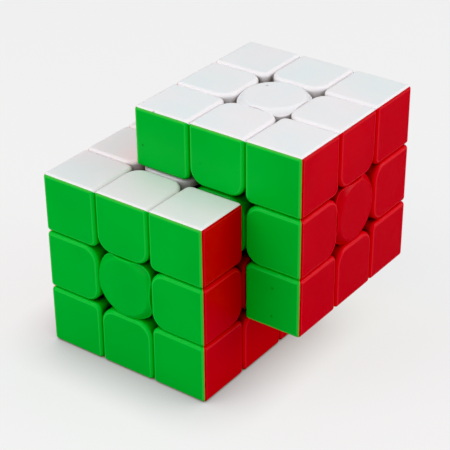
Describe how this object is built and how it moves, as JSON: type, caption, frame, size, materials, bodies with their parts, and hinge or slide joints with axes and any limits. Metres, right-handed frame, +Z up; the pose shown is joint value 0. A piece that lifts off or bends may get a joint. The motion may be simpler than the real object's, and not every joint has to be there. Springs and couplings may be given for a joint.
{
  "type": "twisty puzzle cube",
  "caption": "Two twisty puzzle cubes joined corner into corner around a shared fixed block, with turning outer layers.",
  "frame": {"origin": "under the middle of the whole, on the surface it stands on", "axes": "+X to the right, +Y to the back, +Z up; the upper cube stands towards +X and +Y"},
  "size_m": [0.0746, 0.0746, 0.0747],
  "materials": {
    "white": "moulded white plastic",
    "yellow": "moulded yellow plastic",
    "green": "moulded green plastic",
    "blue": "moulded blue plastic",
    "red": "moulded red plastic",
    "orange": "moulded orange plastic",
    "core_black": "moulded black plastic",
    "screw_steel": "zinc plated steel",
    "spring_steel": "drawn spring steel"
  },
  "bodies": {
    "fixed_core": {"lower_core": "core_black", "upper_core": "core_black", "frame_screws": "screw_steel", "lower_right_fixed_cap": "red", "lower_back_fixed_cap": "blue", "lower_top_fixed_cap": "white", "upper_left_fixed_cap": "orange", "upper_front_fixed_cap": "green", "upper_bottom_fixed_cap": "yellow", "tension_screws": "screw_steel", "tension_springs": "spring_steel", "tension_washers": "screw_steel"},
    "left_block": {"left_block_orange_shells": "orange", "left_block_blue_shells": "blue", "left_block_white_shells": "white", "left_centre_lid": "orange"},
    "front_block": {"front_block_green_shells": "green", "front_block_red_shells": "red", "front_block_white_shells": "white", "front_centre_lid": "green"},
    "bottom_block": {"bottom_block_yellow_shells": "yellow", "bottom_block_red_shells": "red", "bottom_block_blue_shells": "blue", "bottom_centre_lid": "yellow"},
    "left_front_pair": {"left_front_pair_orange_shells": "orange", "left_front_pair_green_shells": "green", "left_front_pair_white_shells": "white"},
    "front_bottom_pair": {"front_bottom_pair_green_shells": "green", "front_bottom_pair_yellow_shells": "yellow", "front_bottom_pair_red_shells": "red"},
    "left_bottom_pair": {"left_bottom_pair_orange_shells": "orange", "left_bottom_pair_yellow_shells": "yellow", "left_bottom_pair_blue_shells": "blue"},
    "lower_corner": {"lower_corner_orange_shells": "orange", "lower_corner_green_shells": "green", "lower_corner_yellow_shells": "yellow"},
    "right_block": {"right_block_red_shells": "red", "right_block_green_shells": "green", "right_block_yellow_shells": "yellow", "right_centre_lid": "red"},
    "back_block": {"back_block_blue_shells": "blue", "back_block_orange_shells": "orange", "back_block_yellow_shells": "yellow", "back_centre_lid": "blue"},
    "top_block": {"top_block_white_shells": "white", "top_block_orange_shells": "orange", "top_block_green_shells": "green", "top_centre_lid": "white"},
    "right_back_pair": {"right_back_pair_red_shells": "red", "right_back_pair_blue_shells": "blue", "right_back_pair_yellow_shells": "yellow"},
    "back_top_pair": {"back_top_pair_blue_shells": "blue", "back_top_pair_white_shells": "white", "back_top_pair_orange_shells": "orange"},
    "right_top_pair": {"right_top_pair_red_shells": "red", "right_top_pair_white_shells": "white", "right_top_pair_green_shells": "green"},
    "upper_corner": {"upper_corner_red_shells": "red", "upper_corner_blue_shells": "blue", "upper_corner_white_shells": "white"}
  },
  "joints": [
    {"name": "left_turn", "type": "hinge", "parent": "fixed_core", "child": "left_block", "pos_m": [-0.00933, -0.00933, 0.028], "axis": [1, 0, 0], "range_deg": [-90, 360]},
    {"name": "front_turn", "type": "hinge", "parent": "fixed_core", "child": "front_block", "pos_m": [-0.00933, -0.00933, 0.028], "axis": [0, 1, 0], "range_deg": [-360, 90]},
    {"name": "bottom_turn", "type": "hinge", "parent": "fixed_core", "child": "bottom_block", "pos_m": [-0.00933, -0.00933, 0.028], "axis": [0, 0, 1], "range_deg": [-360, 360]},
    {"name": "right_turn", "type": "hinge", "parent": "fixed_core", "child": "right_block", "pos_m": [0.00933, 0.00933, 0.04667], "axis": [1, 0, 0], "range_deg": [-90, 360]},
    {"name": "back_turn", "type": "hinge", "parent": "fixed_core", "child": "back_block", "pos_m": [0.00933, 0.00933, 0.04667], "axis": [0, 1, 0], "range_deg": [-360, 360]},
    {"name": "top_turn", "type": "hinge", "parent": "fixed_core", "child": "top_block", "pos_m": [0.00933, 0.00933, 0.04667], "axis": [0, 0, 1], "range_deg": [-360, 90]},
    {"name": "left_front_pair_turn", "type": "hinge", "parent": "front_block", "child": "left_front_pair", "pos_m": [-0.00933, -0.00933, 0.028], "axis": [1, 0, 0], "range_deg": [-90, 360]},
    {"name": "front_bottom_pair_turn", "type": "hinge", "parent": "bottom_block", "child": "front_bottom_pair", "pos_m": [-0.00933, -0.00933, 0.028], "axis": [0, 1, 0], "range_deg": [-360, 90]},
    {"name": "left_bottom_pair_turn", "type": "hinge", "parent": "left_block", "child": "left_bottom_pair", "pos_m": [-0.00933, -0.00933, 0.028], "axis": [0, 0, 1], "range_deg": [-360, 360]},
    {"name": "lower_corner_turn", "type": "hinge", "parent": "left_front_pair", "child": "lower_corner", "pos_m": [-0.00933, -0.00933, 0.028], "axis": [0, 0, 1], "range_deg": [-360, 360]},
    {"name": "right_back_pair_turn", "type": "hinge", "parent": "back_block", "child": "right_back_pair", "pos_m": [0.00933, 0.00933, 0.04667], "axis": [1, 0, 0], "range_deg": [-90, 360]},
    {"name": "back_top_pair_turn", "type": "hinge", "parent": "top_block", "child": "back_top_pair", "pos_m": [0.00933, 0.00933, 0.04667], "axis": [0, 1, 0], "range_deg": [-360, 360]},
    {"name": "right_top_pair_turn", "type": "hinge", "parent": "right_block", "child": "right_top_pair", "pos_m": [0.00933, 0.00933, 0.04667], "axis": [0, 0, 1], "range_deg": [-360, 90]},
    {"name": "upper_corner_turn", "type": "hinge", "parent": "right_back_pair", "child": "upper_corner", "pos_m": [0.00933, 0.00933, 0.04667], "axis": [0, 0, 1], "range_deg": [-360, 90]}
  ],
  "couplings": [
    {"joint": "left_front_pair_turn", "follows": "left_turn", "ratio": 1},
    {"joint": "front_bottom_pair_turn", "follows": "front_turn", "ratio": 1},
    {"joint": "left_bottom_pair_turn", "follows": "bottom_turn", "ratio": 1},
    {"joint": "lower_corner_turn", "follows": "bottom_turn", "ratio": 1},
    {"joint": "right_back_pair_turn", "follows": "right_turn", "ratio": 1},
    {"joint": "back_top_pair_turn", "follows": "back_turn", "ratio": 1},
    {"joint": "right_top_pair_turn", "follows": "top_turn", "ratio": 1},
    {"joint": "upper_corner_turn", "follows": "top_turn", "ratio": 1}
  ]
}
